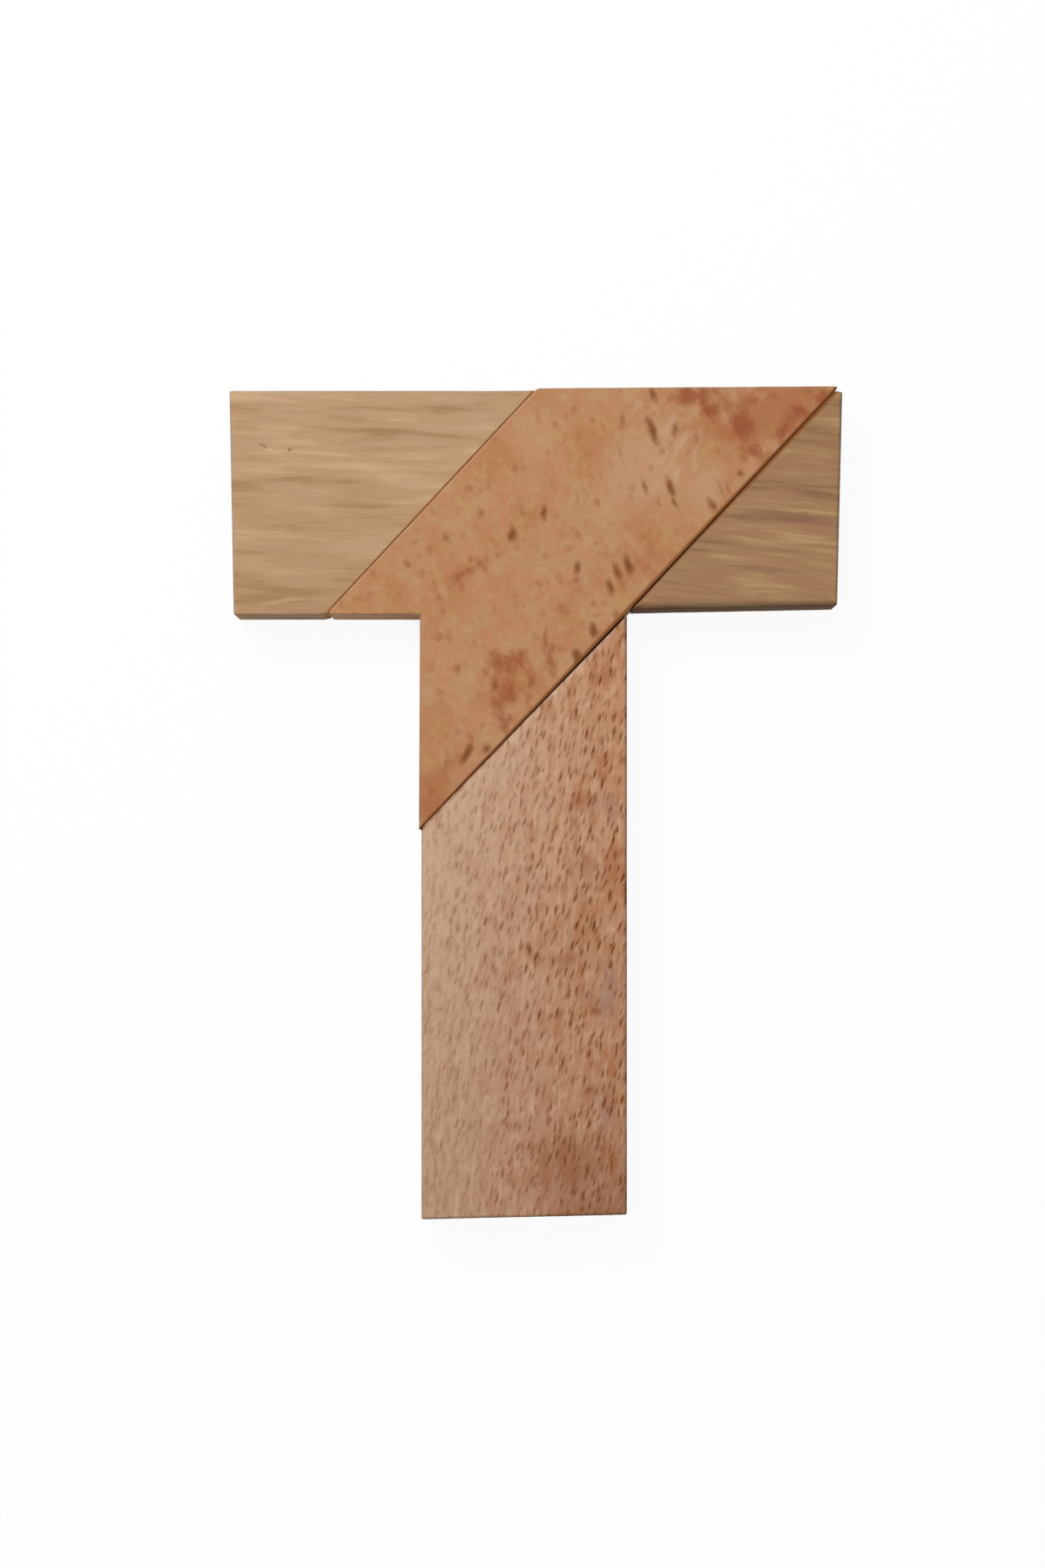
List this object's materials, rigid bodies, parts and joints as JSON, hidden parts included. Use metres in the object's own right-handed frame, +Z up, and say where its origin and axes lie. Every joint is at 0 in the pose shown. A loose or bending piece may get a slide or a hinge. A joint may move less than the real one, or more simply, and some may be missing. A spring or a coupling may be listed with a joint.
{
  "type": "wooden t puzzle",
  "caption": "Flat dissection puzzle of solid wood: a notched pentagon, a triangle and right trapezoids with slanted cuts, laid side by side as a capital T.",
  "frame": {"origin": "middle of the finished letter's outline, on the surface that it lies on", "axes": "+Z up through the thickness of the wood, +Y to the top of the letter, +X to the letter's right"},
  "size_m": [0.1193, 0.1622, 0.01],
  "materials": {
    "left_arm_wood": "sanded bare wood, yellow tan, fine grain along the bar",
    "pentagon_wood": "sanded bare wood, orange tan, mottled, with red-brown blotches and dark flecks",
    "right_arm_wood": "sanded bare wood, brown tan, streaked along the bar",
    "stem_wood": "sanded bare beech, pink beige, with short flecks along the stem"
  },
  "bodies": {
    "root": {"left_arm": "left_arm_wood", "notched_pentagon": "pentagon_wood", "right_arm": "right_arm_wood", "stem": "stem_wood"}
  },
  "joints": []
}
